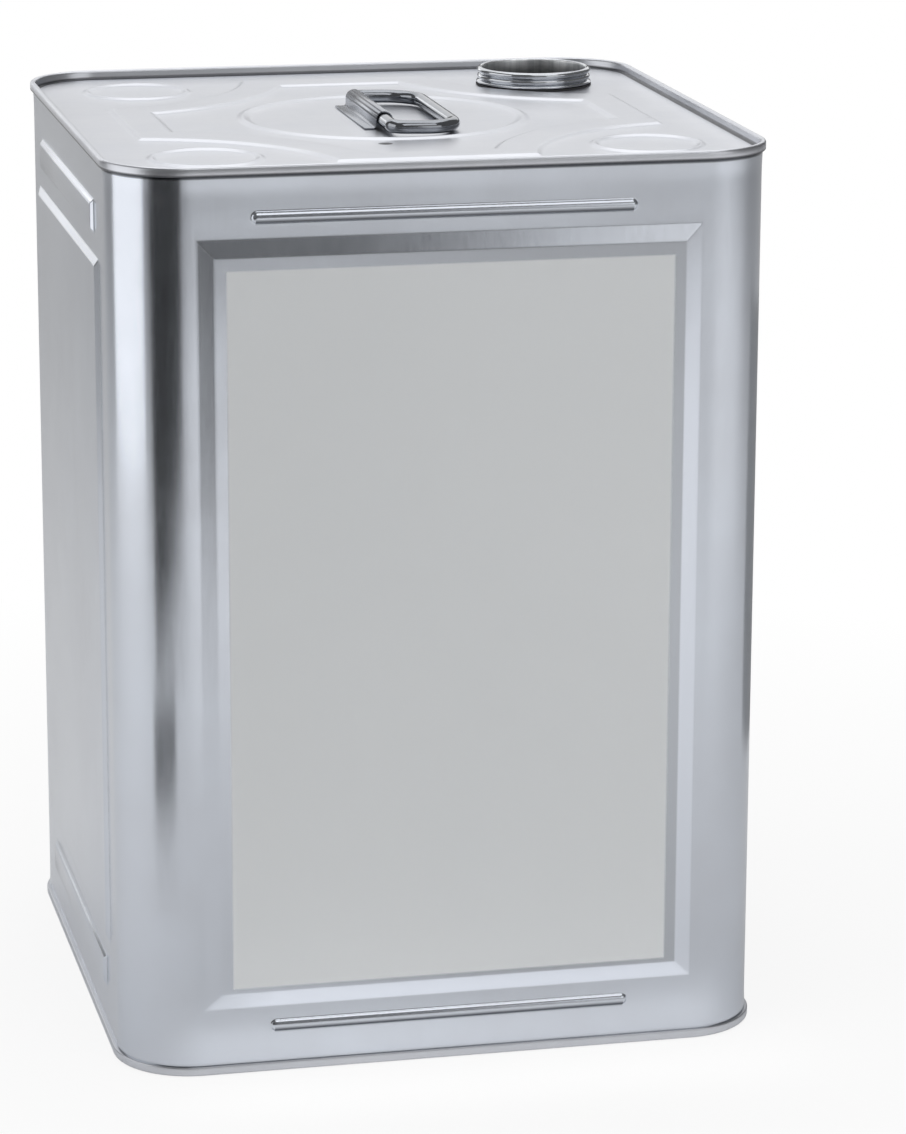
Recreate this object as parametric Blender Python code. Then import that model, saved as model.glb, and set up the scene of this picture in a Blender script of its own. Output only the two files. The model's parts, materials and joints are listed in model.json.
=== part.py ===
"""Square tinplate can with a wire ring handle and a short rolled spout.

Metres, +Z up, origin at the centre of the base. The front faces -Y and the spout stands at +X +Y.
Each sheet piece is a surface, the side of the sheet that shows, and a Solidify modifier makes the
sheet behind it. The plates are joined to the body by double seams with interlocking hooks.
"""
import math

import bmesh
import bpy
from mathutils import Matrix, Vector

# Overall size, over the seams
CAN_WIDTH = 0.238
CAN_HEIGHT = 0.3285
CORNER_RADIUS = 0.0285
CORNER_STEPS = 8

# Tinplate and the double seam
SHEET = 0.00032
SEAM_GAP = 0.00012
SEAM_HEIGHT = 0.0034
SEAM_TOP_BEND = 0.0006
SEAM_FOOT_BEND = 0.00045
HOOK_BEND = 0.00012
HOOK_CLEARANCE = 0.0002
COMPOUND = 0.0003
COMPOUND_EDGE = 0.0001
BEND_STEPS = 2
COUNTERSINK = 0.0035
PLATE_BEND = 0.0006
SMOOTH_ANGLE = math.radians(16)
MERGE_DISTANCE = 0.000002

# Front and back faces: a raised panel between two raised beads
PANEL_EDGE = 0.001
PANEL_TOP = 0.0256
PANEL_FOOT = 0.0245
PANEL_BEVEL = 0.0059
PANEL_RISE = 0.0012
BEAD_WIDTH = 0.0045
BEAD_HEIGHT = 0.0012
BEAD_END_INSET = 0.0235
BEAD_TOP = 0.0182
BEAD_FOOT = 0.017
BEAD_END_STEPS = 4
BEAD_WIDTH_SHARES = (1.0, 0.72, 0.34)
BEAD_HEIGHT_SHARES = (0.0, 0.7, 0.96)

# Left and right faces: a tall raised panel between two low ones
SIDE_PANEL_EDGE = 0.0122
SIDE_PANEL_END = 0.0378
SIDE_PANEL_BEVEL = 0.003
SIDE_PANEL_RISE = 0.0013
LOW_PANEL_EDGE = 0.022
LOW_PANEL_END = 0.0184
LOW_PANEL_HEIGHT = 0.0121
LOW_PANEL_BEVEL = 0.0015
WELD_LAP = 0.0016
WELD_RISE = 0.0002
WELD_BEVEL = 0.0003
WELD_END_GAP = 0.002

# Embossing of the top plate
EMBOSS = 0.0009
FRAME_EDGE = 0.0215
FRAME_WIDTH = 0.0163
FRAME_BAND = 0.018
FRAME_SLOPE = 0.0018
ARC_CENTRE_EDGE = 0.0095
ARC_STEPS = 8
RING_BEAD_SHARE = 0.217
RING_BEAD_WIDTH = 0.0055
RING_BEAD_TO_FRAME = 0.009
RING_BEAD_STEPS = 40
BOSS_SHARE = 0.08
BOSS_BEAD_WIDTH = 0.004
BOSS_TO_FRAME = 0.0102
BOSS_STEPS = 20
BEAD_CREST_SHARE = 0.2
VENT_MARK_RADIUS = 0.0024
VENT_MARK_DEPTH = 0.0006
VENT_MARK_FROM_RING = 0.0055
VENT_MARK_X = -0.0116
VENT_MARK_STEPS = 10

# Embossing of the bottom plate
FOOT_BEAD_EDGE = 0.03
FOOT_BEAD_WIDTH = 0.005

# Spout, standing where the fourth corner boss would be
SPOUT_TURN = math.radians(47)
SPOUT_TO_FRAME = 0.0003
SPOUT_BORE_RADIUS = 0.02
SPOUT_LIP_WIDTH = 0.002
SPOUT_WAIST_DEPTH = 0.0007
SPOUT_HEIGHT = 0.007
SPOUT_LIP_HEIGHT = 0.0022
SPOUT_WAIST_HEIGHT = 0.0007
SPOUT_LIP_BEND = 0.0007
SPOUT_CLINCH_BEND = 0.0006
SPOUT_SHEET = 0.0004
SPOUT_CLINCH_WIDTH = 0.0024
SPOUT_HOLE_CLEARANCE = 0.0003
SPOUT_STEPS = 36
SEAT_GAP = 0.00015
GASKET_HEIGHT = 0.0005
GASKET_LIP = 0.0004

# Handle: a wire ring in a rolled clip
WIRE_RADIUS = 0.0025
WIRE_SIDES_RESOLUTION = 3
RING_WIDTH_SHARE = 0.78
RING_REACH = 0.0243
RING_REAR_BEND = 0.0045
RING_FRONT_BEND = 0.0125
RING_BEND_IN_CLIP = 0.001
RING_REST_GAP = 0.0003
HINGE_X = -0.0053
CLIP_LENGTH_SHARE = 0.73
CLIP_SHEET = 0.0005
CLIP_RUNNING_GAP = 0.00025
CLIP_FOOT_LENGTH = 0.004
CLIP_FOOT_BEND = 0.0008
CLIP_OPEN_ANGLE = math.radians(62)
CLIP_STEPS = 18
RING_BEND_STEPS = 6

# Seam layers, measured outward from the inner face of the body wall
BODY_FACE = SHEET
COVER_HOOK = BODY_FACE + SEAM_GAP
BODY_HOOK = COVER_HOOK + SHEET + SEAM_GAP
SEAM_FACE = BODY_HOOK + 2 * SHEET + SEAM_GAP
CHUCK_WALL = -(SEAM_GAP + SHEET)
FLANGE_DEPTH = 2 * SHEET + 2 * SEAM_GAP + COMPOUND

# Inner face of the body wall
INNER_HALF = CAN_WIDTH / 2 - SEAM_FACE
INNER_RADIUS = CORNER_RADIUS - SEAM_FACE
FLAT_HALF = INNER_HALF - INNER_RADIUS
FACE_HALF = INNER_HALF + BODY_FACE

# Emboss places, from the can's axis
FRAME_HALF = CAN_WIDTH / 2 - FRAME_EDGE
ARC_CENTRE = CAN_WIDTH / 2 - ARC_CENTRE_EDGE
RING_BEAD_RADIUS = CAN_WIDTH * RING_BEAD_SHARE
RING_BEAD_OUTER = RING_BEAD_RADIUS + RING_BEAD_WIDTH / 2
INNER_ARC = ARC_CENTRE * math.sqrt(2) - RING_BEAD_OUTER - RING_BEAD_TO_FRAME
OUTER_ARC = INNER_ARC - FRAME_BAND
BOSS_RADIUS = CAN_WIDTH * BOSS_SHARE
BOSS_OUTER = BOSS_RADIUS + BOSS_BEAD_WIDTH / 2
BOSS_PLACE = ARC_CENTRE - (OUTER_ARC - BOSS_TO_FRAME - BOSS_OUTER) / math.sqrt(2)
SPOUT_LIP_RADIUS = SPOUT_BORE_RADIUS + SPOUT_LIP_WIDTH
SPOUT_WAIST_RADIUS = SPOUT_LIP_RADIUS - SPOUT_WAIST_DEPTH
SPOUT_HOLE_RADIUS = SPOUT_BORE_RADIUS + SPOUT_SHEET + SPOUT_HOLE_CLEARANCE
GASKET_RADIUS = SPOUT_LIP_RADIUS + GASKET_LIP
SPOUT_REACH = OUTER_ARC - SPOUT_TO_FRAME - GASKET_RADIUS
SPOUT_X = ARC_CENTRE - SPOUT_REACH * math.cos(SPOUT_TURN)
SPOUT_Y = ARC_CENTRE - SPOUT_REACH * math.sin(SPOUT_TURN)
PLATE_TOP = CAN_HEIGHT - COUNTERSINK

# Handle places, from the round bead that the handle lies in
RING_WIDTH = 2 * (RING_BEAD_RADIUS - RING_BEAD_WIDTH / 2) * RING_WIDTH_SHARE
CLIP_LENGTH = RING_WIDTH * CLIP_LENGTH_SHARE
HINGE_HEIGHT = SEAT_GAP + CLIP_SHEET + CLIP_RUNNING_GAP + WIRE_RADIUS

# The ring has slid to the front, until its rear bend meets the clip
RING_SLIP = CLIP_LENGTH / 2 - RING_BEND_IN_CLIP - (RING_WIDTH / 2 - RING_REAR_BEND)


def clear_scene():
    """Remove what the scene holds."""
    for item in list(bpy.data.objects):
        bpy.data.objects.remove(item, do_unlink=True)


def material(name, colour, roughness, metallic):
    """One Principled material."""
    made = bpy.data.materials.new(name)
    made.use_nodes = True
    shader = made.node_tree.nodes["Principled BSDF"]
    shader.inputs["Base Color"].default_value = (*colour, 1)
    shader.inputs["Roughness"].default_value = roughness
    shader.inputs["Metallic"].default_value = metallic
    return made


def fillet(corners, radii, steps):
    """Round the inner corners of an open line of 2-D points. A radius of 0 leaves a corner sharp."""
    points = [Vector(corners[0])]
    for before, corner, after, radius in zip(corners, corners[1:], corners[2:], radii):
        here = Vector(corner)
        if radius == 0:
            points.append(here)
            continue
        back = (Vector(before) - here).normalized()
        ahead = (Vector(after) - here).normalized()
        half_angle = back.angle(ahead) / 2
        reach = radius / math.tan(half_angle)
        centre = here + (back + ahead).normalized() * radius / math.sin(half_angle)
        start = here + back * reach - centre
        turn = start.angle_signed(here + ahead * reach - centre)
        for step in range(steps + 1):
            # angle_signed is positive clockwise
            points.append(centre + Matrix.Rotation(-turn * step / steps, 2) @ start)
    points.append(Vector(corners[-1]))
    return points


def arc(centre, radius, start, end, steps):
    """Points along an arc, as 2-D vectors."""
    angles = (start + (end - start) * step / steps for step in range(steps + 1))
    return [Vector((centre[0] + radius * math.cos(a), centre[1] + radius * math.sin(a))) for a in angles]


def circle(centre, radius, steps):
    """Points round a circle, without the closing one."""
    return arc(centre, radius, 0, math.tau, steps)[:-1]


def rounded_square(half, radius, steps=CORNER_STEPS):
    """Square outline with round corners, anticlockwise."""
    points = []
    for quarter in range(4):
        turn = Matrix.Rotation(quarter * math.pi / 2, 2)
        corner = arc((half - radius, half - radius), radius, 0, math.pi / 2, steps)
        points += [turn @ point for point in corner]
    return points


def frame_outline(half, radius):
    """Square outline whose corners are cut by hollow arcs, anticlockwise."""
    lean = math.asin((ARC_CENTRE - half) / radius)
    start, end = 1.5 * math.pi - lean, math.pi + lean
    points = []
    for quarter in range(4):
        turn = Matrix.Rotation(quarter * math.pi / 2, 2)
        corner = arc((ARC_CENTRE, ARC_CENTRE), radius, start, end, ARC_STEPS)
        points += [turn @ point for point in corner]
    return points


def capsule(centre_height, half_length, radius):
    """Outline of a bead with round ends, anticlockwise."""
    right = arc((half_length, centre_height), radius, -math.pi / 2, math.pi / 2, BEAD_END_STEPS)
    left = arc((-half_length, centre_height), radius, math.pi / 2, 1.5 * math.pi, BEAD_END_STEPS)
    return right + left


def rectangle(left, right, low, high):
    """Four corners, anticlockwise."""
    return [Vector(point) for point in ((left, low), (right, low), (right, high), (left, high))]


def add_loop(mesh, outline, place, rise=0):
    """Vertices of a closed outline, each put in space by place."""
    return [mesh.verts.new(place(point, rise)) for point in outline]


def bridge(mesh, loops, closed=False):
    """Quads between closed loops of equal count, each with the next. closed joins the last to the first."""
    following = loops[1:] + loops[:1] if closed else loops[1:]
    for lower, upper in zip(loops, following):
        for index in range(len(lower)):
            after = (index + 1) % len(lower)
            mesh.faces.new((lower[index], lower[after], upper[after], upper[index]))


def fill(mesh, loops, normal):
    """Flat sheet between an outer loop and the loops inside it."""
    edges = []
    for loop in loops:
        for first, second in zip(loop, loop[1:] + loop[:1]):
            edge = mesh.edges.get((first, second))
            edges.append(edge if edge else mesh.edges.new((first, second)))
    bmesh.ops.triangle_fill(mesh, use_beauty=True, use_dissolve=False, edges=edges, normal=normal)


def terrace(mesh, steps, place, normal):
    """Pressed feature: outlines with their rise, joined, and the last one filled. Returns the first."""
    loops = [add_loop(mesh, outline, place, rise) for outline, rise in steps]
    bridge(mesh, loops)
    fill(mesh, [loops[-1]], normal)
    return loops[0]


def from_top(depth):
    """Height of a point at this depth below the top rim."""
    return CAN_HEIGHT - depth


def from_foot(depth):
    """Height of a point at this depth above the foot."""
    return depth


def seam_loops(mesh, path, height_of):
    """Rounded-square loops along a line of (offset from the inner wall, depth below the rim)."""

    def place(point, depth):
        return (point.x, point.y, height_of(depth))

    outlines = [rounded_square(INNER_HALF + offset, INNER_RADIUS + offset) for offset, depth in path]
    return [add_loop(mesh, outline, place, depth) for outline, (offset, depth) in zip(outlines, path)]


def faces_up(face):
    """True for a face on top."""
    return face.normal.z > 0


def faces_down(face):
    """True for a face underneath."""
    return face.normal.z < 0


def faces_away(face):
    """True for a wall's face that points away from the object's axis."""
    return face.normal.dot(face.calc_center_median() * Vector((1, 1, 0))) > 0


def faces_axis(face):
    """True for a wall's face that points to the object's axis."""
    return not faces_away(face)


def finish_sheet(name, mesh, thickness, finish, outward):
    """Object from a surface with its sheet behind it. outward tells whether a face points out."""
    bmesh.ops.remove_doubles(mesh, verts=mesh.verts, dist=MERGE_DISTANCE)
    bmesh.ops.recalc_face_normals(mesh, faces=mesh.faces)
    largest = max(mesh.faces, key=lambda face: face.calc_area())
    largest.normal_update()
    if not outward(largest):
        bmesh.ops.reverse_faces(mesh, faces=mesh.faces)
    item = new_object(name, mesh, finish)
    sheet = item.modifiers.new("Sheet", "SOLIDIFY")
    sheet.thickness = thickness
    sheet.offset = -1
    sheet.use_even_offset = True
    sheet.use_quality_normals = True
    return item


def new_object(name, mesh, finish):
    """Link a bmesh as a named object, smooth where it turns gently."""
    data = bpy.data.meshes.new(name)
    mesh.to_mesh(data)
    mesh.free()
    data.shade_smooth()
    data.set_sharp_from_angle(angle=SMOOTH_ANGLE)
    data.materials.append(finish)
    item = bpy.data.objects.new(name, data)
    bpy.context.scene.collection.objects.link(item)
    return item


def cover_path():
    """Shown side of a plate's seam: up from its hook, round the outside, over, down the chuck wall."""
    hook_top = FLANGE_DEPTH + SEAM_GAP + HOOK_CLEARANCE
    corners = [
        (COVER_HOOK, hook_top),
        (COVER_HOOK, SEAM_HEIGHT),
        (SEAM_FACE, SEAM_HEIGHT),
        (SEAM_FACE, 0),
        (CHUCK_WALL, 0),
        (CHUCK_WALL, COUNTERSINK),
        (CHUCK_WALL - 2 * PLATE_BEND, COUNTERSINK),
    ]
    bends = [SEAM_FOOT_BEND, SEAM_FOOT_BEND, SEAM_TOP_BEND, SEAM_TOP_BEND, PLATE_BEND]
    return fillet(corners, bends, BEND_STEPS)


def body_hook_path():
    """Outer side of the body's edge: up the wall, out along the flange, down its hook."""
    corners = [
        (BODY_FACE, SEAM_HEIGHT + HOOK_CLEARANCE),
        (BODY_FACE, FLANGE_DEPTH),
        (BODY_HOOK, FLANGE_DEPTH),
        (BODY_HOOK, SEAM_HEIGHT - SHEET - SEAM_GAP - HOOK_CLEARANCE),
    ]
    return fillet(corners, [HOOK_BEND, HOOK_BEND], BEND_STEPS)


def pressed_panel(left, right, low, high, bevel, rise):
    """Outlines of a panel with mitred bevels."""
    return [
        (rectangle(left, right, low, high), 0),
        (rectangle(left + bevel, right - bevel, low + bevel, high - bevel), rise),
    ]


def pressed_bead(height, half_length):
    """Outlines of a half-round bead."""
    straight = half_length - BEAD_WIDTH / 2
    return [
        (capsule(height, straight, BEAD_WIDTH / 2 * width), BEAD_HEIGHT * rise)
        for width, rise in zip(BEAD_WIDTH_SHARES, BEAD_HEIGHT_SHARES)
    ]


def label_face():
    """Pressed features of the front and the back."""
    half = FLAT_HALF - PANEL_EDGE
    bead_half = half - BEAD_END_INSET
    return [
        pressed_panel(-half, half, PANEL_FOOT, CAN_HEIGHT - PANEL_TOP, PANEL_BEVEL, PANEL_RISE),
        pressed_bead(CAN_HEIGHT - BEAD_TOP, bead_half),
        pressed_bead(BEAD_FOOT, bead_half),
    ]


def side_face():
    """Pressed features of the left and the right."""
    tall = FLAT_HALF - SIDE_PANEL_EDGE
    low = FLAT_HALF - LOW_PANEL_EDGE
    low_end = LOW_PANEL_END + LOW_PANEL_HEIGHT
    top, rise = CAN_HEIGHT, SIDE_PANEL_RISE
    return [
        pressed_panel(-tall, tall, SIDE_PANEL_END, top - SIDE_PANEL_END, SIDE_PANEL_BEVEL, rise),
        pressed_panel(-low, low, LOW_PANEL_END, low_end, LOW_PANEL_BEVEL, rise),
        pressed_panel(-low, low, top - low_end, top - LOW_PANEL_END, LOW_PANEL_BEVEL, rise),
    ]


def side_weld():
    """Lap of the welded side seam, on the flat strip behind the right face's panels."""
    middle = FLAT_HALF - SIDE_PANEL_EDGE / 2
    end = SEAM_HEIGHT + WELD_END_GAP
    left, right = middle - WELD_LAP / 2, middle + WELD_LAP / 2
    return pressed_panel(left, right, end, CAN_HEIGHT - end, WELD_BEVEL, WELD_RISE)


def body_shell(finish):
    """Body: one sheet bent square, pressed, welded and flanged at both ends."""
    mesh = bmesh.new()
    hook = body_hook_path()
    end = hook[0][1]
    low, high = end, CAN_HEIGHT - end
    faces = (label_face(), side_face() + [side_weld()], label_face(), side_face())
    for quarter, features in enumerate(faces):
        turn = Matrix.Rotation(quarter * math.pi / 2, 3, "Z")
        normal = turn @ Vector((0, -1, 0))

        def on_face(point, rise, turn=turn):
            return turn @ Vector((point.x, -(FACE_HALF + rise), point.y))

        outline = add_loop(mesh, rectangle(-FLAT_HALF, FLAT_HALF, low, high), on_face)
        holes = [terrace(mesh, steps, on_face, normal) for steps in features]
        fill(mesh, [outline] + holes, normal)
        corner = arc((FLAT_HALF, -FLAT_HALF), INNER_RADIUS + BODY_FACE, -math.pi / 2, 0, CORNER_STEPS)
        strip = [[turn @ Vector((p.x, p.y, height)) for height in (low, high)] for p in corner]
        columns = [[mesh.verts.new(point) for point in pair] for pair in strip]
        for first, second in zip(columns, columns[1:]):
            mesh.faces.new((first[0], second[0], second[1], first[1]))
    for height_of in (from_top, from_foot):
        bridge(mesh, seam_loops(mesh, hook, height_of))
    return finish_sheet("body_shell", mesh, SHEET, finish, faces_away)


def plate_seam(mesh, height_of):
    """Seam and chuck wall of a plate. Returns the loop where the flat plate starts."""
    loops = seam_loops(mesh, cover_path(), height_of)
    bridge(mesh, loops)
    return loops[-1]


def ring_bead(mesh, centre, radius, width, count, place):
    """Round bead with a narrow crest. Returns its outer and inner foot."""
    foot = width / 2
    crest = foot * BEAD_CREST_SHARE
    steps = ((foot, 0), (crest, EMBOSS), (-crest, EMBOSS), (-foot, 0))
    loops = [add_loop(mesh, circle(centre, radius + offset, count), place, rise) for offset, rise in steps]
    bridge(mesh, loops)
    return loops[0], loops[-1]


def top_plate(finish):
    """Top plate: framed emboss, round beads, vent mark and the hole for the spout."""
    mesh = bmesh.new()
    up = Vector((0, 0, 1))

    def on_plate(point, rise):
        return (point.x, point.y, PLATE_TOP + rise)

    edge = plate_seam(mesh, from_top)
    inner_half = FRAME_HALF - FRAME_WIDTH
    steps = (
        (FRAME_HALF, OUTER_ARC, 0),
        (FRAME_HALF - FRAME_SLOPE, OUTER_ARC + FRAME_SLOPE, EMBOSS),
        (inner_half + FRAME_SLOPE, INNER_ARC - FRAME_SLOPE, EMBOSS),
        (inner_half, INNER_ARC, 0),
    )
    frame = [add_loop(mesh, frame_outline(half, radius), on_plate, rise) for half, radius, rise in steps]
    bridge(mesh, frame[:2])
    fill(mesh, frame[1:3], up)
    bridge(mesh, frame[2:])

    around = [edge, frame[0]]
    for side_x, side_y in ((-1, -1), (1, -1), (-1, 1)):
        centre = (side_x * BOSS_PLACE, side_y * BOSS_PLACE)
        outer, inner = ring_bead(mesh, centre, BOSS_RADIUS, BOSS_BEAD_WIDTH, BOSS_STEPS, on_plate)
        around.append(outer)
        fill(mesh, [inner], up)
    around.append(add_loop(mesh, circle((SPOUT_X, SPOUT_Y), SPOUT_HOLE_RADIUS, SPOUT_STEPS), on_plate))
    fill(mesh, around, up)

    outer, inner = ring_bead(mesh, (0, 0), RING_BEAD_RADIUS, RING_BEAD_WIDTH, RING_BEAD_STEPS, on_plate)
    vent_y = -(RING_BEAD_OUTER + VENT_MARK_FROM_RING)
    steps = [
        (circle((VENT_MARK_X, vent_y), VENT_MARK_RADIUS, VENT_MARK_STEPS), 0),
        (circle((VENT_MARK_X, vent_y), VENT_MARK_RADIUS / 2, VENT_MARK_STEPS), -VENT_MARK_DEPTH),
    ]
    vent = terrace(mesh, steps, on_plate, up)
    fill(mesh, [frame[3], outer, vent], up)
    fill(mesh, [inner], up)
    return finish_sheet("top_plate", mesh, SHEET, finish, faces_up)


def bottom_plate(finish):
    """Bottom plate: the same seam, with a square and a round bead to stiffen it."""
    mesh = bmesh.new()
    down = Vector((0, 0, -1))

    def on_plate(point, rise):
        return (point.x, point.y, COUNTERSINK - rise)

    edge = plate_seam(mesh, from_foot)
    crest = FOOT_BEAD_WIDTH * (1 - BEAD_CREST_SHARE) / 2
    half = CAN_WIDTH / 2 - FOOT_BEAD_EDGE
    steps = ((0, 0), (crest, EMBOSS), (FOOT_BEAD_WIDTH - crest, EMBOSS), (FOOT_BEAD_WIDTH, 0))
    square = []
    for inset, rise in steps:
        square.append(add_loop(mesh, rounded_square(half - inset, CORNER_RADIUS - inset), on_plate, rise))
    bridge(mesh, square)
    fill(mesh, [edge, square[0]], down)
    outer, inner = ring_bead(mesh, (0, 0), RING_BEAD_RADIUS, RING_BEAD_WIDTH, RING_BEAD_STEPS, on_plate)
    fill(mesh, [square[3], outer], down)
    fill(mesh, [inner], down)
    return finish_sheet("bottom_plate", mesh, SHEET, finish, faces_down)


def seam_compound(name, finish, height_of):
    """Sealing ring between the body's flange and the top of the seam."""
    mesh = bmesh.new()
    inner = COMPOUND_EDGE
    outer = BODY_HOOK + SHEET - COMPOUND_EDGE
    high = SHEET + SEAM_GAP
    section = ((inner, high), (outer, high), (outer, high + COMPOUND), (inner, high + COMPOUND))
    bridge(mesh, seam_loops(mesh, section, height_of), closed=True)
    bmesh.ops.recalc_face_normals(mesh, faces=mesh.faces)
    return new_object(name, mesh, finish)


def turned(mesh, section):
    """Loops of a section of (radius, height) turned about Z, in as many steps as the spout."""

    def place(point, height):
        return (point.x, point.y, height)

    outlines = [(circle((0, 0), radius, SPOUT_STEPS), height) for radius, height in section]
    return [add_loop(mesh, outline, place, height) for outline, height in outlines]


def spout_neck(finish):
    """Spout: one turned sheet, clinched under the plate, up the bore, rolled over and down outside."""
    mesh = bmesh.new()
    under = -(SHEET + 2 * SEAT_GAP + SPOUT_SHEET)
    foot = 2 * SEAT_GAP + GASKET_HEIGHT
    lip_foot = SPOUT_HEIGHT - SPOUT_LIP_HEIGHT
    waist_foot = lip_foot - SPOUT_WAIST_HEIGHT
    step = SPOUT_WAIST_DEPTH
    corners = [
        (SPOUT_BORE_RADIUS + SPOUT_CLINCH_WIDTH, under),
        (SPOUT_BORE_RADIUS, under),
        (SPOUT_BORE_RADIUS, SPOUT_HEIGHT),
        (SPOUT_LIP_RADIUS, SPOUT_HEIGHT),
        (SPOUT_LIP_RADIUS, lip_foot),
        (SPOUT_WAIST_RADIUS, lip_foot - step),
        (SPOUT_WAIST_RADIUS, waist_foot - step),
        (SPOUT_LIP_RADIUS, waist_foot - 2 * step),
        (SPOUT_LIP_RADIUS, foot),
    ]
    bends = [SPOUT_CLINCH_BEND, SPOUT_LIP_BEND, SPOUT_LIP_BEND, 0, 0, 0, 0]
    bridge(mesh, turned(mesh, fillet(corners, bends, BEND_STEPS)))
    item = finish_sheet("spout_neck", mesh, SPOUT_SHEET, finish, faces_axis)
    item.location = (SPOUT_X, SPOUT_Y, PLATE_TOP)
    return item


def spout_gasket(finish):
    """Flat sealing ring under the spout's foot."""
    mesh = bmesh.new()
    inner, outer = SPOUT_HOLE_RADIUS, GASKET_RADIUS
    low, high = SEAT_GAP, SEAT_GAP + GASKET_HEIGHT
    section = ((inner, low), (outer, low), (outer, high), (inner, high))
    bridge(mesh, turned(mesh, section), closed=True)
    bmesh.ops.recalc_face_normals(mesh, faces=mesh.faces)
    item = new_object("spout_gasket", mesh, finish)
    item.location = (SPOUT_X, SPOUT_Y, PLATE_TOP)
    return item


def handle_clip(finish):
    """Clip: a foot welded to the plate, rolled over the wire."""
    mesh = bmesh.new()
    outer = WIRE_RADIUS + CLIP_RUNNING_GAP + CLIP_SHEET
    foot_top = SEAT_GAP + CLIP_SHEET - HINGE_HEIGHT
    foot = [(-outer - CLIP_FOOT_LENGTH, foot_top), (-outer, foot_top), (-outer, 0)]
    riser = fillet(foot, [CLIP_FOOT_BEND], BEND_STEPS)
    roll = arc((0, 0), outer, math.pi, -CLIP_OPEN_ANGLE, CLIP_STEPS)
    section = riser[:-1] + roll
    ends = []
    for end in (-CLIP_LENGTH / 2, CLIP_LENGTH / 2):
        ends.append([mesh.verts.new((point.x, end, point.y)) for point in section])
    for index in range(len(section) - 1):
        near, far = ends
        mesh.faces.new((near[index], near[index + 1], far[index + 1], far[index]))
    item = finish_sheet("handle_clip", mesh, CLIP_SHEET, finish, faces_up)
    item.location = (HINGE_X, 0, PLATE_TOP + HINGE_HEIGHT)
    return item


def handle_ring(finish):
    """Handle: one closed wire ring, its rear leg in the clip, lying on the plate."""
    half = RING_WIDTH / 2
    corners = [(0, half, RING_REAR_BEND), (RING_REACH, half, RING_FRONT_BEND)]
    corners += [(x, -y, bend) for x, y, bend in reversed(corners)]
    closed = [corners[-1]] + corners + [corners[0]]
    line = fillet([c[:2] for c in closed], [c[2] for c in corners], RING_BEND_STEPS)[1:-1]
    fall = (HINGE_HEIGHT - WIRE_RADIUS - RING_REST_GAP) / RING_REACH
    curve = bpy.data.curves.new("handle_ring", "CURVE")
    curve.dimensions = "3D"
    curve.bevel_depth = WIRE_RADIUS
    curve.bevel_resolution = WIRE_SIDES_RESOLUTION
    spline = curve.splines.new("POLY")
    spline.points.add(len(line) - 1)
    for point, place in zip(spline.points, line):
        point.co = (place.x, place.y, -fall * place.x, 1)
    spline.use_cyclic_u = True
    curve.materials.append(finish)
    item = bpy.data.objects.new("handle_ring", curve)
    item.location = (HINGE_X, RING_SLIP, PLATE_TOP + HINGE_HEIGHT)
    bpy.context.scene.collection.objects.link(item)
    return item


def build():
    """Make every piece of the can."""
    clear_scene()
    tinplate = material("tinplate", (0.62, 0.63, 0.65), 0.28, 1)
    bright_wire = material("bright_wire", (0.66, 0.67, 0.69), 0.12, 1)
    clip_steel = material("clip_steel", (0.6, 0.61, 0.64), 0.18, 1)
    spout_steel = material("spout_steel", (0.66, 0.67, 0.69), 0.14, 1)
    compound = material("sealing_compound", (0.35, 0.33, 0.3), 0.7, 0)
    rubber = material("gasket_rubber", (0.05, 0.05, 0.05), 0.8, 0)
    body_shell(tinplate)
    top_plate(tinplate)
    bottom_plate(tinplate)
    seam_compound("top_seam_compound", compound, from_top)
    seam_compound("bottom_seam_compound", compound, from_foot)
    handle_clip(clip_steel)
    handle_ring(bright_wire)
    spout_neck(spout_steel)
    spout_gasket(rubber)


build()
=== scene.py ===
"""Square tinplate can with a wire ring handle and a short rolled spout: its looks and its stage.

Metres, +Z up, origin at the centre of the base. The front faces -Y and the spout stands at +X +Y.
"""
import json
import math

import bmesh
import bpy
from bpy.props import FloatProperty, FloatVectorProperty, PointerProperty
from mathutils import Matrix, Vector


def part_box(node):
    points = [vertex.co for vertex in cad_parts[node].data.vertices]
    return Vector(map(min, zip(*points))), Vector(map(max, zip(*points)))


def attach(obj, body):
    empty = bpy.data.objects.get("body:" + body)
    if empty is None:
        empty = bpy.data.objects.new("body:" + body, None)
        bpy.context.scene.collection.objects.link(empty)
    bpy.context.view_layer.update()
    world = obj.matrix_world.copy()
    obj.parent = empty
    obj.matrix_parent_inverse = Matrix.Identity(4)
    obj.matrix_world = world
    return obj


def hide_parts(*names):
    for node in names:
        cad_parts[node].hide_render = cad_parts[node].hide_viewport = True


bl_info = {
    "name": "Square Tin Can",
    "version": (1, 0, 0),
    "blender": (4, 5, 0),
    "location": "3D View > Sidebar > Tin Can",
    "description": "Models and finishes a square tinplate can over its frame",
    "category": "Add Mesh",
}

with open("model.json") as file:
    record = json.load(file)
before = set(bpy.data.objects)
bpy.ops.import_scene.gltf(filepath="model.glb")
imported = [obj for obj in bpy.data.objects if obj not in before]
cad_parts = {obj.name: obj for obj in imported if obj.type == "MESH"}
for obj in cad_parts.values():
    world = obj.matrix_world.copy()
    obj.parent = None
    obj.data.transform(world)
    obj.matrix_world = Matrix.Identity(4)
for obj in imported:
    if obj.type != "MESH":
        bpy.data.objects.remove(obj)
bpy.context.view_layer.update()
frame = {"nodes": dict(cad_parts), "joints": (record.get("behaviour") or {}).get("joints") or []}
WIDTH = 2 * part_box("top_plate")[1].x
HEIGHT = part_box("top_plate")[1].z
MIDDLE = HEIGHT / 2
HINGE = Vector(frame["joints"][0]["pos_m"])
SPOUT = (Vector(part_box("spout_gasket")[0]) + Vector(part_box("spout_gasket")[1])) / 2

# How closely a face has to look along an axis to count as facing it, and as flat on it.
FACING = 0.9
FLAT = 0.999
# Within this distance two heights are the same.
TOUCH = 1e-5

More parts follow.
